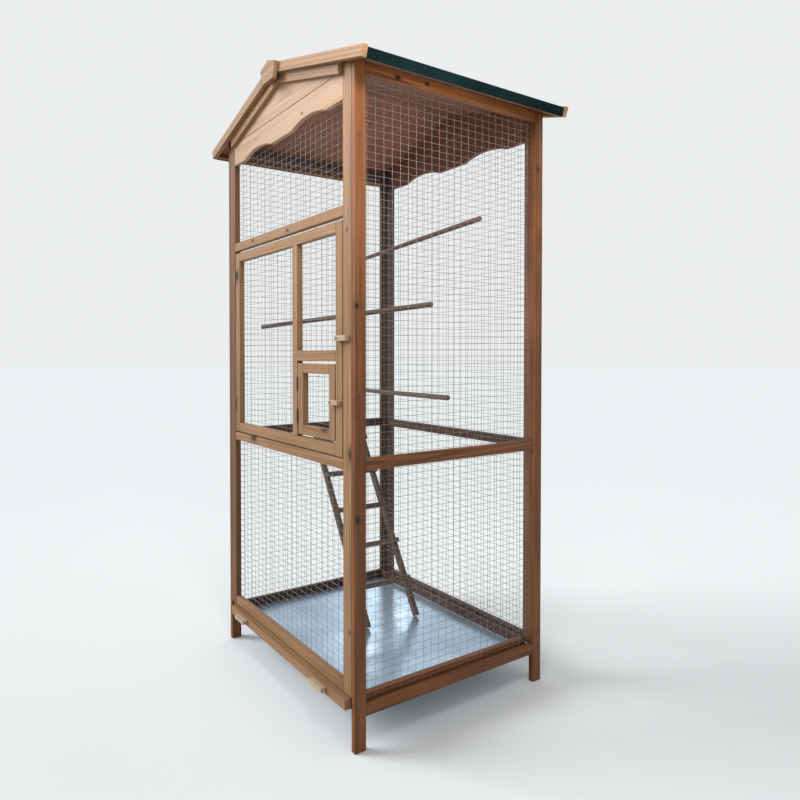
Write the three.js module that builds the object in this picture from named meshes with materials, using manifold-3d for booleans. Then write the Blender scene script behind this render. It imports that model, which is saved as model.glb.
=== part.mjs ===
// Free-standing outdoor aviary: timber frame on four legs, welded wire walls,
// felted gable roof, front door with a hatch in it, sliding tray, perches, ladder.
// Millimetres. X runs along the front, Y from front to back, Z up. The origin is on the
// floor, in the middle of the outer box.
import * as THREE from "three";
import { mergeVertices } from "three/addons/utils/BufferGeometryUtils.js";
import Module from "manifold-3d";

const wasm = await Module();
wasm.setup();

// ---------------------------------------------------------------- driving dimensions
const GAP = 0.3; // air left between pieces that touch

const HALF_WIDTH = 325; // outer faces of the legs
const FRONT = -298; // front face of the cage
const BACK = 324; // back face of the cage
const LEG_THICK = 13.5; // leg, along X
const LEG_WIDE = 31; // leg, along Y
const LEG_TOP = 1527.5;
const PANEL_THICK = 17; // front and back panels and doors, along Y
const STILE_WIDE = 31;
const STILE_TOP = 1531.5;

const SIDE_RAILS = { bottom: [77, 103], mid: [627, 653.5], top: [1500.5, 1526.5] };
const FRONT_RAILS = { bottom: [120.7, 144.5], mid: [624.5, 648.5], upper: [1194.5, 1219] };
const BACK_RAILS = { bottom: [90.5, 115], mid: [627, 651.5] };

// Roof, measured on a slope: along it from the ridge, and at right angles to it.
const ROOF_PITCH = Math.atan(0.3075);
const RIDGE_Z = 1643; // top corner where the barge boards meet
const SLOPE_LENGTH = 409.5;
const BARGE_DEEP = 25;
const BARGE_THICK = 13.7;
const FRONT_OVERHANG = 13; // deck in front of the front face
const FELT_DROP = 3.5; // felt below the top of the barge boards
const FELT_THICK = 2;
const DECK_THICK = 8;
const EAVE_DEEP = 22.5; // height of the felted eave edge
const EAVE_BATTEN = 13;

const GABLE_THICK = 12;
const VALANCE_SEAM = 1516; // top of the front valance board
const SEAM_GAP = 1.2; // open joint between the valance and the gable board
const VALANCE_FRONT = 1453; // lower edge, front
const VALANCE_BACK = 1463; // lower edge, back
const SCALLOP = { near: 55, far: 210, rise: 15, steps: 14 };
const APEX_BLOCK = { half: 39, foot: 26, top: 1646, shoulder: 1631, bottom: 1591, thick: 12 };

const DOOR = { half: 277.6, bottom: 652.2, top: 1187, bar: 26 };
const DOOR_POST = [58, 81.5]; // upright in the middle of the door
const DOOR_CROSS = [868.2, 894.2]; // rail above the hatch
const HATCH = { left: 84.7, right: 248.5, bottom: 684.3, top: 862, bar: 24 };

const LATCH_THICK = 11.6;
const DOOR_LATCH = { pivot: 270.5, from: 263, to: 304, z: 921, deep: 12.7 };
const HATCH_LATCH = { pivot: 244.8, from: 238.5, to: 272, z: 774.5, deep: 10.6 };

const HINGE = { length: 38, knuckle: 2.2, pin: 1.1, bore: 1.4, leaf: 1, wide: 14 };
const DOOR_HINGE_Z = [735, 1112]; // middle heights

const WIRE = 2; // bar of the plain wire panels
const WIRE_PITCH = 118;

const TRAY = {
  half: 307, floor: 93.3, sheet: 0.8, top: 117, rim: 13, back: 271.5, boardLeft: -283,
};
const TRAY_PROUD = 15; // front board in front of the cage
const PULL = { x: 205, long: 57, deep: 15, from: 100.5, to: 111.5 };
const LEDGE = { low: 79.5, inner: 297 }; // ledge that carries the tray

const PERCH_RADIUS = 6.5;
const PERCH_REACH = 308.8; // cut just inside the side wires
const PERCHES = {
  perch_upper: { right: [105, 1226], left: [203, 1212] },
  perch_middle: { right: [-57, 1004], left: [-191, 970] },
  perch_lower: { right: [-4, 777], left: [178, 760] },
};

const LADDER = {
  foot: [27.2, 64.5], lean: 0.515, turn: -0.043, half: 88, long: 628,
  railWide: 13, railDeep: 18, rung: 14, rungReach: 96, firstRung: 108, rungPitch: 116, rungs: 5,
};

// ---------------------------------------------------------------- materials
function material(colour, roughness, metalness) {
  return () => new THREE.MeshStandardMaterial({ color: colour, roughness, metalness });
}
const stainedWood = material(0xb98058, 0.7, 0);
const shadedWood = material(0x9a6240, 0.72, 0);
const paleWood = material(0xd9bd95, 0.75, 0);
const perchWood = material(0x8d7159, 0.8, 0);
const feltGreen = material(0x143a36, 0.95, 0);
const zincSheet = material(0xbcd0da, 0.35, 0.85);
const zincWire = material(0xc4c8ca, 0.45, 0.8);
const hingeSteel = material(0xa9a79f, 0.4, 0.9);

// ---------------------------------------------------------------- making solids
const cage = new THREE.Group();

function add(name, geometry, newMaterial, parent = cage) {
  const mesh = new THREE.Mesh(geometry, newMaterial());
  mesh.name = name;
  parent.add(mesh);
  return mesh;
}

function boxGeometry([x0, x1], [y0, y1], [z0, z1]) {
  const geometry = new THREE.BoxGeometry(x1 - x0, y1 - y0, z1 - z0);
  geometry.translate((x0 + x1) / 2, (y0 + y1) / 2, (z0 + z1) / 2);
  return geometry;
}

function bar(name, xs, ys, zs, newMaterial = stainedWood) {
  return add(name, boxGeometry(xs, ys, zs), newMaterial);
}

// The same spans on the other side of the cage when side is -1.
function mirrored([a, b], side) {
  return side > 0 ? [a, b] : [-b, -a];
}

// A board seen from the front: an outline of [x, z] points, with its thickness along Y.
function boardGeometry(outline, [y0, y1], holes = []) {
  const shape = new THREE.Shape(outline.map(([x, z]) => new THREE.Vector2(x, z)));
  shape.holes = holes.map((hole) => new THREE.Path(hole.map(([x, z]) => new THREE.Vector2(x, z))));
  const geometry = new THREE.ExtrudeGeometry(shape, { depth: y1 - y0, bevelEnabled: false });
  geometry.rotateX(Math.PI / 2);
  geometry.translate(0, y1, 0);
  return geometry;
}

function solid(geometry) {
  const plain = geometry.clone();
  plain.deleteAttribute("normal");
  plain.deleteAttribute("uv");
  const merged = mergeVertices(plain, 1e-4);
  const mesh = new wasm.Mesh({
    numProp: 3,
    vertProperties: new Float32Array(merged.attributes.position.array),
    triVerts: new Uint32Array(merged.index.array),
  });
  return new wasm.Manifold(mesh);
}

function geometryOf(manifold) {
  const mesh = manifold.getMesh();
  const geometry = new THREE.BufferGeometry();
  geometry.setAttribute("position", new THREE.BufferAttribute(mesh.vertProperties, 3));
  geometry.setIndex(new THREE.BufferAttribute(mesh.triVerts, 1));
  const loose = geometry.toNonIndexed();
  loose.computeVertexNormals();
  return loose;
}

function joined(geometries) {
  const [first, ...rest] = geometries.map(solid);
  return geometryOf(rest.reduce((whole, piece) => whole.add(piece), first));
}

// ---------------------------------------------------------------- frame
function makeSidePanel(side, word) {
  const x = mirrored([HALF_WIDTH - LEG_THICK, HALF_WIDTH], side);
  bar(`leg_front_${word}`, x, [FRONT, FRONT + LEG_WIDE], [0, LEG_TOP], stainedWood);
  bar(`leg_back_${word}`, x, [BACK - LEG_WIDE, BACK], [0, LEG_TOP], stainedWood);
  const y = [FRONT + LEG_WIDE + GAP, BACK - LEG_WIDE - GAP];
  for (const level of ["mid", "top"]) {
    bar(`rail_${word}_${level}`, x, y, SIDE_RAILS[level], stainedWood);
  }
  // The bottom rail carries the ledge that the tray runs on.
  const ledgeX = mirrored([LEDGE.inner, HALF_WIDTH - LEG_THICK + 1], side);
  const ledgeTop = TRAY.floor - TRAY.sheet - GAP;
  const rail = boxGeometry(x, y, SIDE_RAILS.bottom);
  const ledge = boxGeometry(ledgeX, y, [LEDGE.low, ledgeTop]);
  add(`rail_${word}_bottom`, joined([rail, ledge]), stainedWood);
}

const STILE_OUT = HALF_WIDTH - LEG_THICK - GAP;
const STILE_IN = HALF_WIDTH - LEG_THICK - STILE_WIDE;
const OPENING = STILE_IN - GAP; // half length of the rails between the stiles

function makePanel(word, [y0, y1], rails, bottom) {
  for (const [side, hand] of [[1, "right"], [-1, "left"]]) {
    bar(`${word}_stile_${hand}`, mirrored([STILE_IN, STILE_OUT], side), [y0, y1],
      [bottom, STILE_TOP]);
  }
  for (const [level, z] of Object.entries(rails)) {
    bar(`${word}_rail_${level}`, [-OPENING, OPENING], [y0, y1], z);
  }
}

// ---------------------------------------------------------------- valances and gables
// Lower edge of a valance from left to right: straight, with two shallow arched cut-outs.
function scallopedEdge(z) {
  const points = [[-OPENING, z]];
  for (const side of [-1, 1]) {
    for (let i = 0; i <= SCALLOP.steps; i += 1) {
      const t = i / SCALLOP.steps;
      const along = side < 0 ? SCALLOP.far + t * (SCALLOP.near - SCALLOP.far)
        : SCALLOP.near + t * (SCALLOP.far - SCALLOP.near);
      const lift = Math.sin(Math.PI * t) ** 0.75;
      points.push([side * along, z + SCALLOP.rise * lift]);
    }
  }
  points.push([OPENING, z]);
  return points;
}

// Height on a slope at x, for a line that lies depth below the top of the barge boards.
function roofZ(x, depth) {
  return RIDGE_Z - Math.abs(x) * Math.tan(ROOF_PITCH) - depth / Math.cos(ROOF_PITCH);
}

const DECK_TOP = FELT_DROP + FELT_THICK + GAP;
const DECK_BOTTOM = DECK_TOP + DECK_THICK;

function gableTop() {
  const under = DECK_BOTTOM + GAP;
  return [[OPENING, roofZ(OPENING, under)], [0, roofZ(0, under)], [-OPENING, roofZ(OPENING, under)]];
}

function makeGables() {
  const frontY = [FRONT, FRONT + GABLE_THICK];
  const valance = [...scallopedEdge(VALANCE_FRONT), [OPENING, VALANCE_SEAM], [-OPENING, VALANCE_SEAM]];
  add("front_valance", boardGeometry(valance, frontY), stainedWood);
  const seam = VALANCE_SEAM + SEAM_GAP;
  const gable = [[-OPENING, seam], [OPENING, seam], ...gableTop()];
  add("front_gable", boardGeometry(gable, frontY), stainedWood);
  const backBoard = [...scallopedEdge(VALANCE_BACK), ...gableTop()];
  add("back_gable", boardGeometry(backBoard, [BACK - GABLE_THICK, BACK]), shadedWood);
}

// ---------------------------------------------------------------- roof
// A point on the right-hand slope: along from the ridge, down at right angles to it.
function onSlope(along, down) {
  const c = Math.cos(ROOF_PITCH);
  const s = Math.sin(ROOF_PITCH);
  return [along * c - down * s, RIDGE_Z - along * s - down * c];
}

function flipped(outline) {
  return outline.map(([x, z]) => [-x, z]).reverse();
}

const ROOF_FRONT = FRONT - FRONT_OVERHANG;
const ROOF_Y = [ROOF_FRONT, BACK];
const RIDGE_GAP = GAP / 2;

function makeRoof() {
  const eave = SLOPE_LENGTH - 0.5;
  const deckEnd = eave - FELT_THICK - GAP;
  const lipBottom = FELT_DROP + EAVE_DEEP - GAP;
  const deck = [
    [RIDGE_GAP, roofZ(RIDGE_GAP, DECK_BOTTOM)],
    onSlope(deckEnd - EAVE_BATTEN, DECK_BOTTOM),
    onSlope(deckEnd - EAVE_BATTEN, lipBottom),
    onSlope(deckEnd, lipBottom),
    onSlope(deckEnd, DECK_TOP),
    [RIDGE_GAP, roofZ(RIDGE_GAP, DECK_TOP)],
  ];
  add("roof_deck_right", boardGeometry(deck, ROOF_Y), shadedWood);
  add("roof_deck_left", boardGeometry(flipped(deck), ROOF_Y), shadedWood);

  const feltUnder = FELT_DROP + FELT_THICK;
  const rightFelt = [
    onSlope(eave - FELT_THICK, feltUnder),
    onSlope(eave - FELT_THICK, FELT_DROP + EAVE_DEEP),
    onSlope(eave, FELT_DROP + EAVE_DEEP),
    onSlope(eave, FELT_DROP),
  ];
  const felt = [[0, roofZ(0, feltUnder)], ...rightFelt, [0, roofZ(0, FELT_DROP)], ...flipped(rightFelt)];
  add("roof_felt", boardGeometry(felt, ROOF_Y), feltGreen);

  const barge = [
    [RIDGE_GAP, roofZ(RIDGE_GAP, BARGE_DEEP)],
    onSlope(SLOPE_LENGTH, BARGE_DEEP),
    onSlope(SLOPE_LENGTH, 0),
    [RIDGE_GAP, roofZ(RIDGE_GAP, 0)],
  ];
  const frontY = [ROOF_FRONT - GAP - BARGE_THICK, ROOF_FRONT - GAP];
  const backY = [BACK + GAP, BACK + GAP + BARGE_THICK];
  for (const [word, y] of [["front", frontY], ["back", backY]]) {
    add(`barge_${word}_right`, boardGeometry(barge, y), stainedWood);
    add(`barge_${word}_left`, boardGeometry(flipped(barge), y), stainedWood);
  }

  const block = [
    [-APEX_BLOCK.foot, APEX_BLOCK.bottom], [APEX_BLOCK.foot, APEX_BLOCK.bottom],
    [APEX_BLOCK.half, APEX_BLOCK.shoulder], [0, APEX_BLOCK.top],
    [-APEX_BLOCK.half, APEX_BLOCK.shoulder],
  ];
  const blockBack = frontY[0] - GAP;
  add("apex_block", boardGeometry(block, [blockBack - APEX_BLOCK.thick, blockBack]), stainedWood);
}

// ---------------------------------------------------------------- doors
const DOOR_Y = [FRONT, FRONT + PANEL_THICK];

function makeDoor() {
  const { half, bottom, top, bar: wide } = DOOR;
  bar("door_stile_left", [-half, -half + wide], DOOR_Y, [bottom, top]);
  bar("door_stile_right", [half - wide, half], DOOR_Y, [bottom, top]);
  const inside = half - wide - GAP;
  bar("door_rail_bottom", [-inside, inside], DOOR_Y, [bottom, bottom + wide]);
  bar("door_rail_top", [-inside, inside], DOOR_Y, [top - wide, top]);
  bar("door_post", DOOR_POST, DOOR_Y, [bottom + wide + GAP, top - wide - GAP]);
  bar("door_rail_cross", [DOOR_POST[1] + GAP, inside], DOOR_Y, DOOR_CROSS);
}

function makeHatch() {
  const { left, right, bottom, top, bar: wide } = HATCH;
  const outline = [[left, bottom], [right, bottom], [right, top], [left, top]];
  const hole = [
    [left + wide, bottom + wide], [left + wide, top - wide],
    [right - wide, top - wide], [right - wide, bottom + wide],
  ];
  add("hatch_frame", boardGeometry(outline, DOOR_Y, [hole]), stainedWood);
}

// A turn button of wood in front of the door, with its long end over the fixed stile.
function makeLatch(name, latch) {
  const y = [FRONT - GAP - LATCH_THICK, FRONT - GAP];
  bar(name, [latch.from, latch.to], y, [latch.z - latch.deep / 2, latch.z + latch.deep / 2], paleWood);
}

// ---------------------------------------------------------------- hinges
const HINGE_X = (-STILE_IN - DOOR.half) / 2;
const HINGE_Y = FRONT - HINGE.knuckle - GAP;

function tubeGeometry(outer, inner, z0, z1) {
  const sides = 16;
  const profile = inner > 0
    ? [[inner, z0], [outer, z0], [outer, z1], [inner, z1], [inner, z0]]
    : [[0, z0], [outer, z0], [outer, z1], [0, z1]];
  const geometry = new THREE.LatheGeometry(profile.map(([r, z]) => new THREE.Vector2(r, z)), sides);
  geometry.rotateX(Math.PI / 2);
  geometry.translate(HINGE_X, HINGE_Y, 0);
  return geometry;
}

function leafGeometry(side, z0, z1) {
  const x = mirrored([GAP / 2, GAP / 2 + HINGE.leaf], side).map((v) => v + HINGE_X);
  return boxGeometry(x, [HINGE_Y, FRONT + HINGE.wide], [z0, z1]);
}

// The fixed leaf carries the two outer knuckles, the door's leaf the middle one and the pin.
function makeHinge(word, z) {
  const half = HINGE.length / 2;
  const third = HINGE.length / 6;
  const outerKnuckles = [
    tubeGeometry(HINGE.knuckle, HINGE.bore, z - half, z - third - GAP),
    tubeGeometry(HINGE.knuckle, HINGE.bore, z + third + GAP, z + half),
  ];
  let fixedLeaf = solid(leafGeometry(-1, z - half, z + half));
  const pinRoom = solid(tubeGeometry(HINGE.bore, 0, z - half - 1, z + half + 1));
  const middleRoom = solid(tubeGeometry(HINGE.knuckle + GAP, 0, z - third - GAP, z + third + GAP));
  for (const knuckle of outerKnuckles) {
    fixedLeaf = fixedLeaf.add(solid(knuckle));
  }
  fixedLeaf = fixedLeaf.subtract(pinRoom).subtract(middleRoom);
  add(`hinge_${word}_fixed`, geometryOf(fixedLeaf), hingeSteel);

  let doorLeaf = solid(leafGeometry(1, z - half, z + half));
  const outerRoom = [[z - half - 1, z - third], [z + third, z + half + 1]];
  for (const [z0, z1] of outerRoom) {
    doorLeaf = doorLeaf.subtract(solid(tubeGeometry(HINGE.knuckle + GAP, 0, z0, z1)));
  }
  doorLeaf = doorLeaf.add(solid(tubeGeometry(HINGE.knuckle, 0, z - third, z + third)));
  doorLeaf = doorLeaf.add(solid(tubeGeometry(HINGE.pin, 0, z - half, z + half)));
  add(`hinge_${word}_leaf`, geometryOf(doorLeaf), hingeSteel);
}

// ---------------------------------------------------------------- wire panels
// Flat grid of crossing bars between the two spans, lying in the plane Y = y0 to y1.
function wireGrid([a0, a1], [b0, b1], y) {
  const columns = Math.max(1, Math.round((a1 - a0) / WIRE_PITCH));
  const rows = Math.max(1, Math.round((b1 - b0) / WIRE_PITCH));
  const bars = [
    boxGeometry([a1 - WIRE, a1], y, [b0, b1]),
    boxGeometry([a0, a1], y, [b1 - WIRE, b1]),
  ];
  for (let i = 0; i < columns; i += 1) {
    const a = a0 + Math.floor(i * (a1 - a0 - WIRE) / columns);
    bars.push(boxGeometry([a, a + WIRE], y, [b0, b1]));
  }
  for (let j = 0; j < rows; j += 1) {
    const b = b0 + Math.floor(j * (b1 - b0 - WIRE) / rows);
    bars.push(boxGeometry([a0, a1], y, [b, b + WIRE]));
  }
  return joined(bars);
}

function wirePanelAcross(name, xs, zs, y) {
  add(name, wireGrid(xs, zs, y), zincWire);
}

// A side wall: the same grid, turned to lie along Y.
function wirePanelAlong(name, ys, zs, [x0, x1]) {
  const geometry = wireGrid(ys, zs, [0, x1 - x0]);
  geometry.rotateZ(Math.PI / 2);
  geometry.translate(x1, 0, 0);
  add(name, geometry, zincWire);
}

function makeWires() {
  const inner = HALF_WIDTH - LEG_THICK - GAP;
  const frontY = [FRONT + PANEL_THICK + GAP, FRONT + PANEL_THICK + GAP + WIRE];
  const backY = [BACK - PANEL_THICK - GAP - WIRE, BACK - PANEL_THICK - GAP];
  const sideY = [frontY[1] + GAP, backY[0] - GAP];
  const sideZ = [TRAY.floor, SIDE_RAILS.top[1] - 2];
  wirePanelAlong("wire_right", sideY, sideZ, [inner - WIRE, inner]);
  wirePanelAlong("wire_left", sideY, sideZ, [-inner, WIRE - inner]);

  const across = [-inner + WIRE + GAP, inner - WIRE - GAP];
  wirePanelAcross("wire_back", across, [BACK_RAILS.bottom[0] + 5, VALANCE_BACK + 30], backY);
  wirePanelAcross("wire_front_lower", across,
    [FRONT_RAILS.bottom[0] + 3, FRONT_RAILS.mid[1] - 2], frontY);
  wirePanelAcross("wire_front_upper", across,
    [FRONT_RAILS.upper[0] + 3, VALANCE_SEAM - 8], frontY);

  const lap = 8; // how far a door's wire laps onto its bars
  const { half, bottom, top, bar: wide } = DOOR;
  wirePanelAcross("wire_door_left", [-half + wide - lap, DOOR_POST[0] + lap],
    [bottom + wide - lap, top - wide + lap], frontY);
  wirePanelAcross("wire_door_upper", [DOOR_POST[1] - lap, half - wide + lap],
    [DOOR_CROSS[1] - lap, top - wide + lap], frontY);
  wirePanelAcross("wire_hatch", [HATCH.left + HATCH.bar - lap, HATCH.right - HATCH.bar + lap],
    [HATCH.bottom + HATCH.bar - lap, HATCH.top - HATCH.bar + lap], frontY);
}

// ---------------------------------------------------------------- tray
function makeTray() {
  const boardY = [FRONT - TRAY_PROUD, FRONT + 3];
  const z = [TRAY.floor + GAP, TRAY.top];
  const board = boxGeometry([TRAY.boardLeft, TRAY.half], boardY, z);
  const rimFront = boxGeometry([-TRAY.half, TRAY.half], [boardY[1] - 1, boardY[1] + TRAY.rim], z);
  const rims = [1, -1].map((side) => boxGeometry(
    mirrored([TRAY.half - TRAY.rim, TRAY.half], side), [boardY[1], TRAY.back], z,
  ));
  add("tray_frame", joined([board, rimFront, ...rims]), stainedWood);
  const sheetX = [-TRAY.half + 1, TRAY.half - 1];
  bar("tray_sheet", sheetX, [boardY[1], TRAY.back], [TRAY.floor - TRAY.sheet, TRAY.floor], zincSheet);
  for (const [side, word] of [[1, "right"], [-1, "left"]]) {
    const x = mirrored([PULL.x - PULL.long / 2, PULL.x + PULL.long / 2], side);
    bar(`tray_pull_${word}`, x, [boardY[0] - PULL.deep, boardY[0] - GAP], [PULL.from, PULL.to],
      paleWood);
  }
  // Fixed bar behind the tray, nailed between the side rails.
  const stop = HALF_WIDTH - LEG_THICK - GAP - WIRE - GAP;
  bar("tray_stop", [-stop, stop], [TRAY.back + GAP, TRAY.back + GAP + TRAY.rim], z);
}

// ---------------------------------------------------------------- perches and ladder
function makePerches() {
  for (const [name, { right, left }] of Object.entries(PERCHES)) {
    const a = new THREE.Vector3(PERCH_REACH, ...right);
    const b = new THREE.Vector3(-PERCH_REACH, ...left);
    const geometry = new THREE.CylinderGeometry(PERCH_RADIUS, PERCH_RADIUS, a.distanceTo(b), 16);
    const perch = add(name, geometry, perchWood);
    perch.position.copy(a).add(b).multiplyScalar(0.5);
    perch.quaternion.setFromUnitVectors(new THREE.Vector3(0, 1, 0), a.clone().sub(b).normalize());
  }
}

// Built upright, with Y across the rungs, Z up the rails and +X towards the climber.
function makeLadder() {
  const L = LADDER;
  const pieces = [];
  for (const side of [1, -1]) {
    const y = mirrored([L.half - L.railWide / 2, L.half + L.railWide / 2], side);
    pieces.push(boxGeometry([-L.railDeep, 0], y, [0, L.long]));
  }
  for (let i = 0; i < L.rungs; i += 1) {
    const z = L.firstRung + i * L.rungPitch;
    pieces.push(boxGeometry([-2, L.rung - 2], [-L.rungReach, L.rungReach], [z - L.rung / 2, z + L.rung / 2]));
  }
  const upright = joined(pieces);
  // The rail ends are cut square, so the leaning rails stand on their lower back edges.
  const group = new THREE.Group();
  group.position.set(L.foot[0], L.foot[1], TRAY.floor + GAP + L.railDeep * Math.sin(L.lean));
  group.rotation.set(0, -L.lean, L.turn, "ZYX");
  cage.add(group);
  add("ladder", upright, perchWood, group);
}

makeSidePanel(1, "right");
makeSidePanel(-1, "left");
makePanel("front", [FRONT, FRONT + PANEL_THICK], FRONT_RAILS, FRONT_RAILS.bottom[0]);
makePanel("back", [BACK - PANEL_THICK, BACK], BACK_RAILS, BACK_RAILS.bottom[0]);
makeGables();
makeRoof();
makeDoor();
makeHatch();
makeLatch("door_latch", DOOR_LATCH);
makeLatch("hatch_latch", HATCH_LATCH);
makeHinge("lower", DOOR_HINGE_Z[0]);
makeHinge("upper", DOOR_HINGE_Z[1]);
makeWires();
makeTray();
makePerches();
makeLadder();

export default cage;
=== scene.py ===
"""Looks of the garden aviary: stained timber, felted roof, welded wire, tray, ladder."""
import math
import random

import bmesh
import bpy
from mathutils import Matrix, Vector


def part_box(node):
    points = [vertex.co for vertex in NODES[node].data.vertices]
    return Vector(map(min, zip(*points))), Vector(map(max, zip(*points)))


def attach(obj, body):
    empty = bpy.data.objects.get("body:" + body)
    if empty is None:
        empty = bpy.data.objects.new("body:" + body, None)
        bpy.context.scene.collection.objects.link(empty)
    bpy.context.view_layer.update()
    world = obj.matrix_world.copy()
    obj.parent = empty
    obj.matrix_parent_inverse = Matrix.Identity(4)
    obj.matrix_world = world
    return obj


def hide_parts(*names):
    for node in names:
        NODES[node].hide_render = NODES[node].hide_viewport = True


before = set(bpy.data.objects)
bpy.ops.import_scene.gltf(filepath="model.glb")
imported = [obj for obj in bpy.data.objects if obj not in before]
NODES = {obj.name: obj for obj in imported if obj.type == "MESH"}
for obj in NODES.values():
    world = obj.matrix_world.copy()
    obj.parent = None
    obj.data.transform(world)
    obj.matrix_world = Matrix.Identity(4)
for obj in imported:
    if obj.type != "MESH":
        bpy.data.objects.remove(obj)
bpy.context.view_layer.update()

MM = 0.001
AXES = {"X": Vector((1, 0, 0)), "Y": Vector((0, 1, 0)), "Z": Vector((0, 0, 1))}
ROOF_PITCH = math.atan(0.3075)
RIDGE_Z = 1643
GAP = 0.3  # air between pieces, in millimetres
SEAM = 0.2  # open joint between bars that meet, in millimetres
EDGE = 1.0  # rounding of timber edges, in millimetres
SIDES = (("right", 1), ("left", -1))


# ------------------------------------------------------------------ camera and light
CAMERA_PLACE = (1.4007, -1.0939, 0.8895)
CAMERA_ANGLES = (60.04, -1.01, -0.16)  # azimuth, elevation and roll, in degrees
CAMERA_LENS = 27.42
CAMERA_SHIFT = (0.1438, -0.0461)

SURROUNDINGS = (0.838, 0.855, 0.863, 1)
SKY_DIRECTION = (0.5, 0.66, -0.5)
SKY_STRENGTH = 3.0
SKY_ANGLE = 28  # degrees
LIGHT_SPREAD = 100  # degrees
# Soft lights: name, place, point they aim at, size in metres, watts.
SOFT_LIGHTS = [
    ("soft_left", (-2.8, -2.2, 2.2), (0, -0.3, 1.3), 1.6, 4),
    ("soft_top", (0.9, -0.6, 1.85), (0.3, -0.1, 1.45), 0.35, 4.5),
    ("soft_eave", (0.95, -0.15, 1.2), (0.25, 0.02, 1.56), 0.4, 1.8),
    ("soft_gable", (-0.5, -1.5, 1.95), (0, -0.3, 1.6), 0.5, 2.0),
    ("tray_glow", (-1.5, 1.2, 0.95), (0, 0, 0.1), 0.4, 0.35),
]


def make_camera():
    """Eye-level view of the front and the right-hand side."""
    azimuth, elevation, roll = (math.radians(v) for v in CAMERA_ANGLES)
    ahead = Vector((
        -math.sin(azimuth) * math.cos(elevation),
        math.cos(azimuth) * math.cos(elevation),
        math.sin(elevation),
    ))
    right = ahead.cross(AXES["Z"]).normalized()
    up = right.cross(ahead)
    across = right * math.cos(roll) + up * math.sin(roll)
    upright = up * math.cos(roll) - right * math.sin(roll)
    data = bpy.data.cameras.new("camera")
    data.sensor_width = 36
    data.lens = CAMERA_LENS
    data.shift_x, data.shift_y = CAMERA_SHIFT
    data.clip_end = 100
    camera = bpy.data.objects.new("camera", data)
    bpy.context.scene.collection.objects.link(camera)
    turned = Matrix((across, upright, -ahead)).transposed().to_4x4()
    camera.matrix_world = Matrix.Translation(CAMERA_PLACE) @ turned
    bpy.context.scene.camera = camera


def turn_along(direction):
    """Rotation that points a light along a direction."""
    return Vector(direction).to_track_quat("-Z", "Y").to_euler()


def add_light(name, place, aim, size, watts):
    data = bpy.data.lights.new(name, "AREA")
    data.size = size
    data.energy = watts
    data.spread = math.radians(LIGHT_SPREAD)
    light = bpy.data.objects.new(name, data)
    bpy.context.scene.collection.objects.link(light)
    light.location = place
    light.rotation_euler = turn_along(Vector(aim) - Vector(place))
    light.visible_camera = False


def make_studio():
    """Pale even surroundings, a wide sky light from the front left, and small soft lights."""
    scene = bpy.context.scene
    scene.view_settings.view_transform = "Standard"
    world = bpy.data.worlds.new("surroundings")
    scene.world = world
    world.use_nodes = True
    background = world.node_tree.nodes["Background"]
    background.inputs["Color"].default_value = SURROUNDINGS
    background.inputs["Strength"].default_value = 1.0
    sun = bpy.data.lights.new("sky_light", "SUN")
    sun.energy = SKY_STRENGTH
    sun.angle = math.radians(SKY_ANGLE)
    sky = bpy.data.objects.new("sky_light", sun)
    scene.collection.objects.link(sky)
    sky.rotation_euler = turn_along(SKY_DIRECTION)
    for name, place, aim, size, watts in SOFT_LIGHTS:
        add_light(name, place, aim, size, watts)


# ------------------------------------------------------------------ material helpers
def linear(code):
    """Linear colour of a six-digit sRGB code."""
    parts = [int(code[i:i + 2], 16) / 255 for i in (0, 2, 4)]
    parts = [p / 12.92 if p <= 0.04045 else ((p + 0.055) / 1.055) ** 2.4 for p in parts]
    return (*parts, 1.0)


def add_node(tree, kind, inputs=None, **settings):
    """A new node. Each named input takes a value, or is joined to a socket."""
    node = tree.nodes.new(kind)
    for key, value in settings.items():
        setattr(node, key, value)
    for key, value in (inputs or {}).items():
        if isinstance(value, bpy.types.NodeSocket):
            tree.links.new(value, node.inputs[key])
        else:
            node.inputs[key].default_value = value
    return node


def blend_colours(tree, factor, first, second):
    inputs = {0: factor, 6: first, 7: second}
    return add_node(tree, "ShaderNodeMix", inputs, data_type="RGBA").outputs[2]


def remap(tree, value, low, high, to_low=0.0, to_high=1.0):
    inputs = {
        "Value": value, "From Min": low, "From Max": high, "To Min": to_low, "To Max": to_high,
    }
    return add_node(tree, "ShaderNodeMapRange", inputs).outputs["Result"]


def noise(tree, vector, scale, detail=3.0, roughness=0.55):
    inputs = {"Vector": vector, "Scale": scale, "Detail": detail, "Roughness": roughness}
    return add_node(tree, "ShaderNodeTexNoise", inputs).outputs["Fac"]


def stretched(tree, vector, scale):
    return add_node(tree, "ShaderNodeMapping", {"Vector": vector, "Scale": scale}).outputs[0]


def calculate(tree, how, first, second):
    return add_node(tree, "ShaderNodeMath", {0: first, 1: second}, operation=how).outputs[0]


def cells(tree, vector, scale):
    """Distance to the nearest of many scattered points, and a random value for each point."""
    inputs = {"Vector": vector, "Scale": scale}
    voronoi = add_node(tree, "ShaderNodeTexVoronoi", inputs).outputs
    split = add_node(tree, "ShaderNodeSeparateColor", {"Color": voronoi["Color"]})
    return voronoi["Distance"], split.outputs[0]


def new_material(name, roughness, metallic=0.0):
    made = bpy.data.materials.new(name)
    made.use_nodes = True
    shader = made.node_tree.nodes["Principled BSDF"]
    shader.inputs["Roughness"].default_value = roughness
    shader.inputs["Metallic"].default_value = metallic
    coords = add_node(made.node_tree, "ShaderNodeTexCoord").outputs["Object"]
    return made, made.node_tree, shader, coords


def set_bump(tree, shader, height, strength, distance):
    inputs = {"Height": height, "Strength": strength, "Distance": distance}
    bump = add_node(tree, "ShaderNodeBump", inputs)
    tree.links.new(bump.outputs["Normal"], shader.inputs["Normal"])


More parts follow.
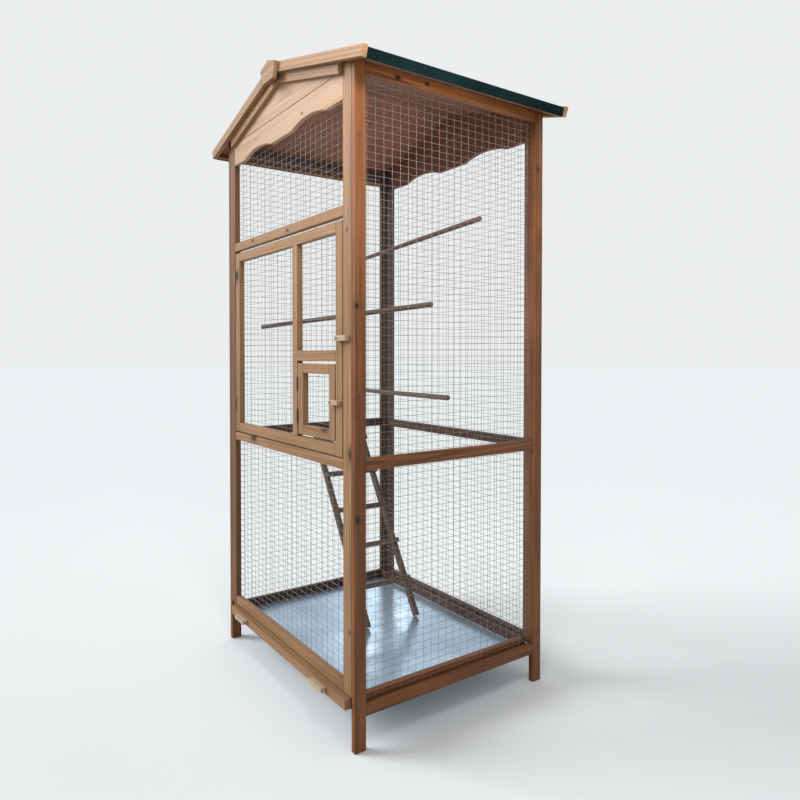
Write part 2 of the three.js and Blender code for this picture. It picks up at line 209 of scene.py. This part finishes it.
# ------------------------------------------------------------------ timber
# Colour sets: soft wood between the rings, the rings, a redder patch, knots.
# front, side, deep and shaded are one stained wood with light and shade painted in:
# front is the paler lit copy; side is a darker copy with painted shade for faces turned
# from the light; deep is darker still, painted shade for the rear and left timbers;
# shaded is a darker copy with painted shade for the back gable and back right stile.
STAINS_AND_PAINTED_SHADE = {
    "gable": [linear(c) for c in ("a88c74", "83664d", "9b7c63", "3a2114")],
    "front": [linear(c) for c in ("917051", "694a2e", "836244", "2a170c")],
    "side": [linear(c) for c in ("86522b", "422411", "6b3f1e", "1c0d06")],
    "shaded": [linear(c) for c in ("835340", "583426", "6e4332", "24130d")],
    "brown": [linear(c) for c in ("6e4c34", "523521", "62432d", "2a170c")],
    "roof": [linear(c) for c in ("906248", "683f2e", "7c5140", "301b12")],
    "pale": [linear(c) for c in ("ab9a84", "86715c", "9a8771", "5f4636")],
    "deep": [linear(c) for c in ("4d3529", "33221a", "412c22", "1a0f0b")],
    "rod": [linear(c) for c in ("64483a", "3f2b21", "533a2d", "241913")],
    "perch": [linear(c) for c in ("67554a", "42342b", "574539", "241913")],
}
RING_SPACING = 3.4 * MM
WAVE_TURNS = 20  # radians of a ring pattern for each unit of its coordinate
KNOT_CHOICE = (0.84, 0.86)  # only scattered points with a higher value become knots


def knot_distance(tree, coords, place, along):
    """Distance from the middle of a knot, in knot radii, drawn out along the grain."""
    x, y, z, radius = place
    stretch = Vector((1, 1, 1)) - 0.3 * Vector([abs(v) for v in along])
    inputs = {
        "Vector": coords,
        "Location": Vector([-v * a / radius for v, a in zip((x, y, z), stretch)]),
        "Scale": stretch / (radius * MM),
    }
    moved = add_node(tree, "ShaderNodeMapping", inputs).outputs[0]
    length = add_node(tree, "ShaderNodeVectorMath", {0: moved}, operation="LENGTH")
    return length.outputs["Value"]


def grain_coordinates(tree, coords, centre, along, draw):
    """Coordinates with X along the grain, near the middle of a piece."""
    wander = Vector([draw.uniform(-0.012, 0.012) for _ in range(3)])
    turn = (Vector(along) + wander).rotation_difference(AXES["X"])
    heart = Vector((draw.uniform(-2, 2), draw.uniform(0.014, 0.045), draw.uniform(-0.03, 0.03)))
    place = heart - (turn.to_matrix() @ Vector(centre))
    inputs = {"Vector": coords, "Location": place, "Rotation": turn.to_euler()}
    return add_node(tree, "ShaderNodeMapping", inputs).outputs[0]


def growth_rings(tree, grain):
    inputs = {
        "Vector": stretched(tree, grain, (0.05, 1, 1)),
        "Scale": 2 * math.pi / (WAVE_TURNS * RING_SPACING),
        "Distortion": 5.0,
        "Detail": 3.0,
        "Detail Scale": 0.3,
    }
    kind = {"wave_type": "RINGS", "rings_direction": "X"}
    return add_node(tree, "ShaderNodeTexWave", inputs, **kind).outputs["Fac"]


def timber(name, centre, along, stain, seed, knots=()):
    """Softwood under a thin stain, with its grain along a direction through a centre. Some colour
    sets are darker copies with painted shade.
    """
    draw = random.Random(seed)
    made, tree, shader, coords = new_material(name, 0.55)
    shader.inputs["Specular IOR Level"].default_value = 0.25
    grain = grain_coordinates(tree, coords, centre, along, draw)
    soft, ring, red, knot = STAINS_AND_PAINTED_SHADE[stain]
    wave = growth_rings(tree, grain)
    streaks = noise(tree, stretched(tree, grain, (0.03, 1, 1)), 95, 5.0, 0.6)
    fibres = noise(tree, stretched(tree, grain, (0.02, 1, 1)), 1500, 2.0)
    patches = noise(tree, stretched(tree, grain, (0.25, 1, 1)), 14, 2.0)

    colour = blend_colours(tree, remap(tree, patches, 0.35, 0.7), soft, red)
    colour = blend_colours(tree, remap(tree, wave, 0.45, 1.0, 0.0, 0.75), colour, ring)
    colour = blend_colours(tree, remap(tree, streaks, 0.43, 0.72, 0.0, 0.85), colour, ring)
    colour = blend_colours(tree, remap(tree, fibres, 0.5, 0.8, 0.0, 0.45), colour, ring)

    away, value = cells(tree, stretched(tree, grain, (6.0, 10.0, 10.0)), 1.0)
    chosen = remap(tree, value, *KNOT_CHOICE)
    halo = calculate(tree, "MULTIPLY", remap(tree, away, 0.30, 0.08, 0.0, 0.8), chosen)
    core = calculate(tree, "MULTIPLY", remap(tree, away, 0.13, 0.06), chosen)
    colour = blend_colours(tree, halo, colour, ring)
    colour = blend_colours(tree, core, colour, knot)
    for place in knots:
        away = knot_distance(tree, coords, place, along)
        away = calculate(tree, "ADD", away, remap(tree, streaks, 0.3, 0.7, -0.15, 0.15))
        colour = blend_colours(tree, remap(tree, away, 2.2, 0.9, 0.0, 0.75), colour, ring)
        colour = blend_colours(tree, remap(tree, away, 1.1, 0.7, 0.0, 0.92), colour, knot)
    tree.links.new(colour, shader.inputs["Base Color"])

    tree.links.new(remap(tree, streaks, 0.2, 0.8, 0.62, 0.42), shader.inputs["Roughness"])
    height = calculate(tree, "ADD", calculate(tree, "MULTIPLY", wave, 0.5), fibres)
    set_bump(tree, shader, height, 0.35, 0.0004)
    return made


# ------------------------------------------------------------------ felt and metal
def felt_finish():
    """Mineral roofing felt: fine dark green granules."""
    made, tree, shader, coords = new_material("roofing_felt", 0.95)
    grains = noise(tree, coords, 1100, 2.0)
    specks = noise(tree, coords, 260, 2.0)
    patches = remap(tree, noise(tree, coords, 9, 4.0), 0.3, 0.7)
    colour = blend_colours(tree, patches, linear("020908"), linear("08191a"))
    speckled = remap(tree, specks, 0.56, 0.72, 0.0, 0.6)
    colour = blend_colours(tree, speckled, colour, linear("17302d"))
    colour = blend_colours(tree, remap(tree, grains, 0.55, 0.8), colour, linear("1b302e"))
    tree.links.new(colour, shader.inputs["Base Color"])
    shader.inputs["Specular IOR Level"].default_value = 0.05
    set_bump(tree, shader, grains, 0.7, 0.0006)
    return made


def zinc_finish(name, light, dark, roughness, metallic):
    """Galvanised steel with a faint spangle and cloudy stains."""
    made, tree, shader, coords = new_material(name, roughness, metallic)
    facets = cells(tree, coords, 90.0)[1]
    clouds = noise(tree, coords, 7, 5.0, 0.65)
    colour = blend_colours(tree, remap(tree, clouds, 0.3, 0.7), linear(dark), linear(light))
    spangle = remap(tree, facets, 0.0, 1.0, 0.0, 0.12)
    colour = blend_colours(tree, spangle, colour, linear(dark))
    tree.links.new(colour, shader.inputs["Base Color"])
    rough = remap(tree, clouds, 0.3, 0.7, roughness + 0.12, roughness - 0.05)
    tree.links.new(rough, shader.inputs["Roughness"])
    set_bump(tree, shader, noise(tree, coords, 16, 2.0), 0.12, 0.001)
    return made


def brushed_finish(name, light, dark, roughness):
    """Plated steel of the hinges and screws, with fine scratches."""
    made, tree, shader, coords = new_material(name, roughness, 0.9)
    scratches = noise(tree, stretched(tree, coords, (1, 1, 0.06)), 2600, 2.0)
    colour = blend_colours(tree, scratches, linear(light), linear(dark))
    tree.links.new(colour, shader.inputs["Base Color"])
    rough = remap(tree, scratches, 0.3, 0.7, roughness - 0.1, roughness + 0.15)
    tree.links.new(rough, shader.inputs["Roughness"])
    set_bump(tree, shader, scratches, 0.2, 0.0001)
    return made


# ------------------------------------------------------------------ making pieces
def finished(name, bm, body, material, replaced=()):
    """Makes a bmesh a piece that rides on a body and stands for CAD nodes."""
    bmesh.ops.recalc_face_normals(bm, faces=bm.faces)
    mesh = bpy.data.meshes.new(name)
    bm.to_mesh(mesh)
    bm.free()
    mesh.materials.append(material)
    piece = bpy.data.objects.new(name, mesh)
    bpy.context.scene.collection.objects.link(piece)
    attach(piece, body)
    if replaced:
        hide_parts(*replaced)
    return piece


def add_block(bm, low, high, round_off=0.0, turn=None, segments=2):
    """A bar between two corners, in millimetres, with its edges rounded off."""
    low, high = Vector(low) * MM, Vector(high) * MM
    matrix = Matrix.Translation((low + high) / 2) @ Matrix.Diagonal((*(high - low), 1))
    if turn is not None:
        matrix = turn @ matrix
    verts = bmesh.ops.create_cube(bm, size=1, matrix=matrix)["verts"]
    if round_off:
        edges = dict.fromkeys(e for v in verts for e in v.link_edges)
        bmesh.ops.bevel(bm, geom=list(edges), offset=round_off * MM, offset_type="OFFSET",
                        segments=segments, profile=0.5, affect="EDGES", material=-1)


def add_rod(bm, start, end, radius, sides, round_off=0.0):
    """A round rod between two points, in millimetres."""
    start, end = Vector(start) * MM, Vector(end) * MM
    along = end - start
    turn = AXES["Z"].rotation_difference(along).to_matrix().to_4x4()
    made = bmesh.ops.create_cone(
        bm, cap_ends=True, segments=sides, radius1=radius * MM, radius2=radius * MM,
        depth=along.length, matrix=Matrix.Translation((start + end) / 2) @ turn,
    )
    if round_off:
        faces = dict.fromkeys(f for v in made["verts"] for f in v.link_faces)
        rims = dict.fromkeys(e for f in faces if len(f.verts) > 4 for e in f.edges)
        bmesh.ops.bevel(bm, geom=list(rims), offset=round_off * MM, offset_type="OFFSET",
                        segments=3, profile=0.5, affect="EDGES", material=-1)


def span(node):
    """Lowest and highest corner of a CAD node, in millimetres."""
    low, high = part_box(node)
    return Vector(low) / MM, Vector(high) / MM


def middle(node):
    low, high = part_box(node)
    return (Vector(low) + Vector(high)) / 2


def soften(piece, width):
    """Joins a piece's faces and breaks its sharp edges."""
    weld = piece.modifiers.new("weld", "WELD")
    weld.merge_threshold = 0.00002
    bevel = piece.modifiers.new("soft_edges", "BEVEL")
    bevel.width = width * MM
    bevel.segments = 2
    bevel.limit_method = "ANGLE"
    bevel.angle_limit = math.radians(40)
    even = piece.modifiers.new("flat_faces", "WEIGHTED_NORMAL")
    even.weight = 100


def dress(node, material, edge=0.0):
    """Gives a CAD node that stays its finish."""
    piece = NODES[node]
    piece.data.materials.clear()
    piece.data.materials.append(material)
    if edge:
        soften(piece, edge)


# ------------------------------------------------------------------ frame timbers
# Grain axis and colour set of each timber. The side, deep and shaded sets are painted shade; front
# is the lit copy.
TIMBERS = {
    ("Z", "side"): ["leg_front_right", "leg_back_right", "leg_front_left"],
    ("Z", "deep"): ["leg_back_left", "back_stile_left"],
    ("Z", "brown"): ["front_stile_left"],
    ("Z", "front"): ["front_stile_right", "door_stile_left", "door_stile_right", "door_post"],
    ("Z", "shaded"): ["back_stile_right"],
    ("Y", "side"): ["rail_right_bottom", "rail_right_mid", "rail_right_top"],
    ("Y", "deep"): ["rail_left_bottom", "rail_left_mid", "rail_left_top"],
    ("X", "front"): ["front_rail_bottom", "front_rail_mid", "front_rail_upper",
                     "door_rail_bottom", "door_rail_top", "door_rail_cross", "apex_block"],
    ("X", "gable"): ["front_valance", "front_gable"],
    ("X", "shaded"): ["back_gable"],
    ("X", "deep"): ["back_rail_bottom", "back_rail_mid", "tray_stop"],
    ("X", "pale"): ["tray_pull_left", "tray_pull_right", "door_latch", "hatch_latch"],
}
# Knots: middle and radius, in millimetres.
KNOTS = {
    "leg_front_right": [(325, -290, 520, 5.5), (325, -293, 991, 4.5)],
    "rail_right_top": [(325, -177, 1510, 5), (325, -89, 1515, 4)],
    "leg_back_right": [(325, 305, 1373, 5)],
    "front_rail_upper": [(34, -298, 1205, 4.5), (-162, -298, 1210, 4)],
    "front_stile_right": [(297, -298, 1161, 3.5), (305, -298, 264, 3.5)],
    "front_valance": [(107, -298, 1481, 3), (-140, -298, 1490, 2.6)],
    "front_gable": [(178, -298, 1543, 2.8)],
}


def dress_timbers():
    seed = 10
    for (axis, stain), nodes in TIMBERS.items():
        for node in nodes:
            seed += 1
            knots = KNOTS.get(node, ())
            wood = timber("wood_" + node, middle(node), AXES[axis], stain, seed, knots)
            dress(node, wood, EDGE)
    for node in ("barge_front_left", "barge_front_right", "barge_back_left", "barge_back_right"):
        seed += 1
        rise = math.sin(ROOF_PITCH) * (1 if node.endswith("left") else -1)
        slope = Vector((math.cos(ROOF_PITCH), 0, rise))
        dress(node, timber("wood_" + node, middle(node), slope, "front", seed), EDGE)


def wooden_bar(name, low, high, axis, stain, seed, body, slot, replaced=(), turn=None):
    """One bar of timber with its own grain."""
    bm = bmesh.new()
    add_block(bm, low, high, EDGE, turn)
    centre = (Vector(low) + Vector(high)) / 2 * MM
    along = AXES[axis]
    if turn is not None:
        centre = turn @ centre
        along = turn.to_3x3() @ along
    material = timber("wood_" + name, centre, along, stain, seed)
    return finished(name, bm, body, material, replaced)


# ------------------------------------------------------------------ hatch and tray
HATCH_BAR = 24
TRAY_BOARD = {"left": -283, "thick": 18}  # the front board stops short at the left
TRAY_RIM = 13


def make_hatch():
    """Four bars, the uprights running the full height."""
    low, high = span("hatch_frame")
    wide = HATCH_BAR
    node = ["hatch_frame"]
    for name, x0 in (("hatch_stile_left", low.x), ("hatch_stile_right", high.x - wide)):
        wooden_bar(name, (x0, low.y, low.z), (x0 + wide, high.y, high.z), "Z", "front", 71 + x0,
                   "hatch", "stained_wood", node)
    inner = (low.x + wide + SEAM, high.x - wide - SEAM)
    for name, z0 in (("hatch_rail_bottom", low.z), ("hatch_rail_top", high.z - wide)):
        wooden_bar(name, (inner[0], low.y, z0), (inner[1], high.y, z0 + wide), "X", "front",
                   81 + z0, "hatch", "stained_wood", node)


def make_tray(zinc):
    """A front board, and a rim round the front and the sides of the sheet."""
    low, high = span("tray_frame")
    node = ["tray_frame"]
    board_back = low.y + TRAY_BOARD["thick"]
    rim_back = board_back + TRAY_RIM
    wooden_bar("tray_board", (TRAY_BOARD["left"], low.y, low.z), (high.x, board_back, high.z),
               "X", "front", 91, "tray", "stained_wood", node)
    # The rims behind the board take the side and deep colour sets, which are painted shade.
    wooden_bar("tray_rim_front", (low.x, board_back + SEAM, low.z), (high.x, rim_back, high.z),
               "X", "side", 92, "tray", "stained_wood", node)
    for name, x0, stain in (
        ("tray_rim_left", low.x, "deep"),
        ("tray_rim_right", high.x - TRAY_RIM, "side"),
    ):
        corners = (x0, rim_back + SEAM, low.z), (x0 + TRAY_RIM, high.y, high.z)
        wooden_bar(name, *corners, "Y", stain, 93 + x0, "tray", "stained_wood", node)
    dress("tray_sheet", zinc)


# ------------------------------------------------------------------ roof
# On a slope X runs along it from the ridge and Z is square to the boards, in millimetres.
REEDS = 57
REED_JOINT = 0.1
REED_EDGE = 0.9
BOARD_START = 4.6
BOARD_END = 406.6
BOARD_TOP = -5.8
BOARD_BOTTOM = -13.8
EAVE_BATTEN = {"wide": 13, "bottom": -25.7}
RAFTER_BATTEN = {
    "start": -20, "end": 320, "top": -14.2, "bottom": -48, "thick": 12, "clear": 0.4,
    "middle": (140, -30),
}


def slope_turn(side):
    """Places roof pieces on a slope."""
    ridge = Matrix.Translation((0, 0, RIDGE_Z * MM))
    return ridge @ Matrix.Rotation(side * ROOF_PITCH, 4, "Y")


def make_roof_boards():
    """Reeded boards on each slope, the reeds running down it, and a batten along each eave."""
    low, high = span("roof_deck_right")
    width = (high.y - low.y) / REEDS
    for word, side in SIDES:
        turn = slope_turn(side)
        node = ["roof_deck_" + word]
        name = "roof_boards_" + word
        bm = bmesh.new()
        x0, x1 = sorted((side * BOARD_START, side * BOARD_END))
        for i in range(REEDS):
            y0 = low.y + i * width
            y1 = y0 + width - REED_JOINT / 2
            corners = (x0, y0 + REED_JOINT / 2, BOARD_BOTTOM), (x1, y1, BOARD_TOP)
            add_block(bm, *corners, REED_EDGE, turn, 1)
        centre = turn @ Vector(((x0 + x1) / 2 * MM, 0, BOARD_BOTTOM * MM))
        material = timber("wood_" + name, centre, turn.to_3x3() @ AXES["X"], "roof", 200 + side)
        finished(name, bm, "frame", material, node)
        x0, x1 = sorted((side * (BOARD_END - EAVE_BATTEN["wide"]), side * BOARD_END))
        corners = (x0, low.y, EAVE_BATTEN["bottom"]), (x1, high.y, BOARD_BOTTOM - GAP)
        # The eave batten takes the side colour set, which is painted shade.
        wooden_bar("eave_batten_" + word, *corners, "Y", "side", 300 + side, "frame",
                   "shaded_wood", node, turn)


def cut_away(bm, x, outward):
    """Cuts off and closes everything beyond an upright plane at x, in millimetres."""
    everything = bm.verts[:] + bm.edges[:] + bm.faces[:]
    bmesh.ops.bisect_plane(bm, geom=everything, plane_co=(x * MM, 0, 0),
                           plane_no=(outward, 0, 0), clear_outer=True)
    bmesh.ops.holes_fill(bm, edges=bm.edges, sides=0)


def make_rafter_battens():
    """Battens between the gable board and the front barge boards."""
    low, high = span("front_gable")
    back = low.y - RAFTER_BATTEN["clear"]
    front = back - RAFTER_BATTEN["thick"]
    for word, side in SIDES:
        turn = slope_turn(side)
        bm = bmesh.new()
        x0, x1 = sorted((side * RAFTER_BATTEN["start"], side * RAFTER_BATTEN["end"]))
        corners = (x0, front, RAFTER_BATTEN["bottom"]), (x1, back, RAFTER_BATTEN["top"])
        add_block(bm, *corners, 0, turn)
        cut_away(bm, side * RAFTER_BATTEN["clear"], -side)
        cut_away(bm, side * high.x, side)
        bmesh.ops.bevel(bm, geom=bm.edges[:], offset=EDGE * MM, offset_type="OFFSET", segments=2,
                        profile=0.5, affect="EDGES", material=-1)
        name = "rafter_batten_" + word
        along = turn.to_3x3() @ AXES["X"]
        x, z = RAFTER_BATTEN["middle"]
        centre = turn @ Vector((side * x * MM, low.y * MM, z * MM))
        material = timber("wood_" + name, centre, along, "front", 320 + side)
        finished(name, bm, "frame", material)


# ------------------------------------------------------------------ wire
WIRE_RADIUS = 0.45
WELD_DEPTH = 0.9  # crossing wires sink into each other a little
MESH_ALONG = 24  # opening across
MESH_UP = 17  # opening up
# Walls: the axis that each lies along, and its body.
WALLS = {
    "wire_right": ("Y", "frame"), "wire_left": ("Y", "frame"),
    "wire_back": ("X", "frame"), "wire_front_lower": ("X", "frame"),
    "wire_front_upper": ("X", "frame"), "wire_door_left": ("X", "door"),
    "wire_door_upper": ("X", "door"), "wire_hatch": ("X", "hatch"),
}


def make_wall(bm, axis, low, high):
    """Upright wires with the level wires welded on behind them."""
    along, flat = (1, 0) if axis == "Y" else (0, 1)
    inward = -1 if low[flat] > 0 else 1
    plane = (low[flat] + high[flat]) / 2
    start, end = low[along], high[along]
    columns = round((end - start) / MESH_ALONG)
    rows = round((high.z - low.z) / MESH_UP)
    offset = inward * WIRE_RADIUS * WELD_DEPTH

    def point(a, z, depth):
        return (plane + depth, a, z) if axis == "Y" else (a, plane + depth, z)

    for i in range(columns + 1):
        a = start + WIRE_RADIUS + i * (end - start - 2 * WIRE_RADIUS) / columns
        add_rod(bm, point(a, low.z, -offset), point(a, high.z, -offset), WIRE_RADIUS, 6)
    for j in range(rows + 1):
        z = low.z + WIRE_RADIUS + j * (high.z - low.z - 2 * WIRE_RADIUS) / rows
        add_rod(bm, point(start, z, offset), point(end, z, offset), WIRE_RADIUS, 6)


def make_wires(zinc):
    for node, (axis, body) in WALLS.items():
        bm = bmesh.new()
        make_wall(bm, axis, *span(node))
        finished(node.replace("wire", "mesh"), bm, body, zinc, [node])


# ------------------------------------------------------------------ perches and ladder
PERCH_RADIUS = 6.5
# Perches: right end, left end, stain.
PERCHES = {
    "perch_upper": ((308.8, 105, 1226), (-308.8, 203, 1212), "rod"),
    "perch_middle": ((308.8, -57, 1004), (-308.8, -191, 970), "perch"),
    "perch_lower": ((308.8, -4, 777), (-308.8, 178, 760), "perch"),
}
# Ladder: foot on the tray, lean and turn in radians, then lengths in millimetres.
LADDER = {
    "foot": (27.2, 64.5), "lean": 0.515, "turn": -0.043, "half": 88, "long": 628,
    "rail_wide": 13, "rail_deep": 18, "rung": 14, "reach": 96, "first": 108, "pitch": 116,
    "rungs": 5, "floor": 93.6,
}


def make_perches():
    for seed, (name, (start, end, stain)) in enumerate(PERCHES.items(), 400):
        bm = bmesh.new()
        add_rod(bm, start, end, PERCH_RADIUS, 32, 1.6)
        centre = (Vector(start) + Vector(end)) / 2 * MM
        material = timber("wood_" + name, centre, Vector(end) - Vector(start), stain, seed)
        piece = finished(name + "_dowel", bm, "frame", material, [name])
        piece.data.shade_smooth()
        piece.data.set_sharp_from_angle(angle=math.radians(35))


def ladder_place():
    foot = Vector((*LADDER["foot"], LADDER["floor"])) * MM
    foot.z += LADDER["rail_deep"] * math.sin(LADDER["lean"]) * MM
    turn = Matrix.Rotation(LADDER["turn"], 4, "Z") @ Matrix.Rotation(-LADDER["lean"], 4, "Y")
    return Matrix.Translation(foot) @ turn


def make_ladder(steel):
    """Two rails with square rungs nailed across their upper faces."""
    place = ladder_place()
    half, wide = LADDER["half"], LADDER["rail_wide"] / 2
    for word, side in (("front", -1), ("back", 1)):
        low = (-LADDER["rail_deep"], side * half - wide, 0)
        high = (-0.1, side * half + wide, LADDER["long"])
        wooden_bar("ladder_rail_" + word, low, high, "Z", "perch", 410 + side, "ladder",
                   "perch_wood", ["ladder"], place)
    nails = bmesh.new()
    head = LADDER["rung"] - 2  # upper face of a rung
    for i in range(LADDER["rungs"]):
        z = LADDER["first"] + i * LADDER["pitch"]
        low = (0, -LADDER["reach"], z - LADDER["rung"] / 2)
        high = (head, LADDER["reach"], z + LADDER["rung"] / 2)
        wooden_bar(f"ladder_rung_{i + 1}", low, high, "Y", "perch", 420 + i, "ladder",
                   "perch_wood", ["ladder"], place)
        for side in (-1, 1):
            ends = [place @ (Vector((x, side * half, z)) * MM) / MM for x in (head - 3, head + 0.4)]
            add_rod(nails, *ends, 1.8, 12)
    finished("ladder_nails", nails, "ladder", steel)


# ------------------------------------------------------------------ fixings
# Screws in the posts: distance from the front or back of the cage, and height.
FRONT_SCREWS = [(13, 1362), (12, 792), (10, 749), (13, 218), (5, 643), (5, 104)]
BACK_SCREWS = [(16, 133), (17, 406), (16, 747), (17, 1070), (16, 1363), (17, 1492)]
BUTTON_SCREWS = {
    "door_button_screw": (270.5, 921, "door_button"),
    "hatch_button_screw": (244.8, 774.5, "hatch_button"),
}
SCREW_RADIUS = 2.6
BUTTON_SCREW_RADIUS = 3.2
HATCH_HINGE = {
    "x": 83.1, "proud": 2.5, "heights": (729, 810), "radius": 2.2, "leaf": 15,
    "middle_half": 5.8, "half": 17.5,
}


def add_screw(bm, place, outward, radius):
    """A tapered screw head with a hollow in its face."""
    outward = Vector(outward)
    turn = AXES["Z"].rotation_difference(outward).to_matrix().to_4x4()
    matrix = Matrix.Translation(Vector(place) * MM) @ turn
    made = bmesh.ops.create_cone(bm, cap_ends=True, segments=20, radius1=radius * MM,
                                 radius2=radius * 0.72 * MM, depth=1.2 * MM, matrix=matrix)
    faces = dict.fromkeys(f for v in made["verts"] for f in v.link_faces)
    top = max(faces, key=lambda f: f.normal.dot(outward))
    bmesh.ops.inset_individual(bm, faces=[top], thickness=radius * 0.35 * MM, depth=-0.5 * MM)


def make_screws(steel):
    """Screws through the posts into the rails, and the pivots of the turn buttons."""
    frame_screws = bmesh.new()
    right = span("leg_front_right")[1].x + GAP
    front, back = span("leg_front_right")[0].y, span("leg_back_right")[1].y
    for side in (-1, 1):
        for inset, z in FRONT_SCREWS:
            add_screw(frame_screws, (side * right, front + inset, z), (side, 0, 0), SCREW_RADIUS)
        for inset, z in BACK_SCREWS:
            add_screw(frame_screws, (side * right, back - inset, z), (side, 0, 0), SCREW_RADIUS)
    finished("frame_screws", frame_screws, "frame", steel)
    button_face = span("door_latch")[0].y - GAP
    for name, (x, z, body) in BUTTON_SCREWS.items():
        bm = bmesh.new()
        add_screw(bm, (x, button_face, z), (0, -1, 0), BUTTON_SCREW_RADIUS)
        finished(name, bm, body, steel)


def make_hatch_hinges(steel):
    """Two small butt hinges in the gap at the left of the hatch."""
    radius, half = HATCH_HINGE["radius"], HATCH_HINGE["middle_half"]
    x, y = HATCH_HINGE["x"], span("hatch_frame")[0].y - HATCH_HINGE["proud"]
    leaf_back = y + HATCH_HINGE["leaf"]
    leaves = bmesh.new()
    fixed = bmesh.new()
    for z in HATCH_HINGE["heights"]:
        add_rod(leaves, (x, y, z - half), (x, y, z + half), radius, 20)
        add_block(leaves, (x + 0.2, y, z - half), (x + 1.2, leaf_back, z + half))
        for end in (-1, 1):
            low_z, high_z = sorted((z + end * (half + GAP), z + end * HATCH_HINGE["half"]))
            add_rod(fixed, (x, y, low_z), (x, y, high_z), radius, 20)
            add_block(fixed, (x - 1.2, y, low_z), (x - 0.2, leaf_back, high_z))
    finished("hatch_hinge_leaves", leaves, "hatch", steel)
    finished("hatch_hinge_fixed", fixed, "door", steel)


# ------------------------------------------------------------------ floor
FLOOR_RADIUS = 40  # metres
FLOOR_COLOURS = (0.625, 0.638, 0.644, 1), (0.635, 0.648, 0.654, 1)


def make_floor():
    bm = bmesh.new()
    bmesh.ops.create_circle(bm, cap_ends=True, segments=64, radius=FLOOR_RADIUS)
    mesh = bpy.data.meshes.new("floor")
    bm.to_mesh(mesh)
    bm.free()
    floor = bpy.data.objects.new("floor", mesh)
    bpy.context.scene.collection.objects.link(floor)
    made, tree, shader, coords = new_material("floor_paint", 0.8)
    colour = blend_colours(tree, noise(tree, coords, 1.5, 2.0), *FLOOR_COLOURS)
    tree.links.new(colour, shader.inputs["Base Color"])
    shader.inputs["Specular IOR Level"].default_value = 0.0
    mesh.materials.append(made)


make_camera()
make_studio()
wire_zinc = zinc_finish("galvanised_wire", "827d7b", "666260", 0.6, 0.4)
tray_zinc = zinc_finish("galvanised_sheet", "bacfe2", "94aec3", 0.24, 0.75)
hinge_steel = brushed_finish("plated_steel", "918e87", "625f5a", 0.42)
screw_steel = brushed_finish("dull_steel", "5f564e", "302924", 0.45)
dress_timbers()
make_hatch()
make_tray(tray_zinc)
make_roof_boards()
make_rafter_battens()
dress("roof_felt", felt_finish(), 0.8)
for hinge in ("hinge_lower_fixed", "hinge_lower_leaf", "hinge_upper_fixed", "hinge_upper_leaf"):
    dress(hinge, hinge_steel)
make_wires(wire_zinc)
make_perches()
make_ladder(screw_steel)
make_screws(screw_steel)
make_hatch_hinges(hinge_steel)
make_floor()
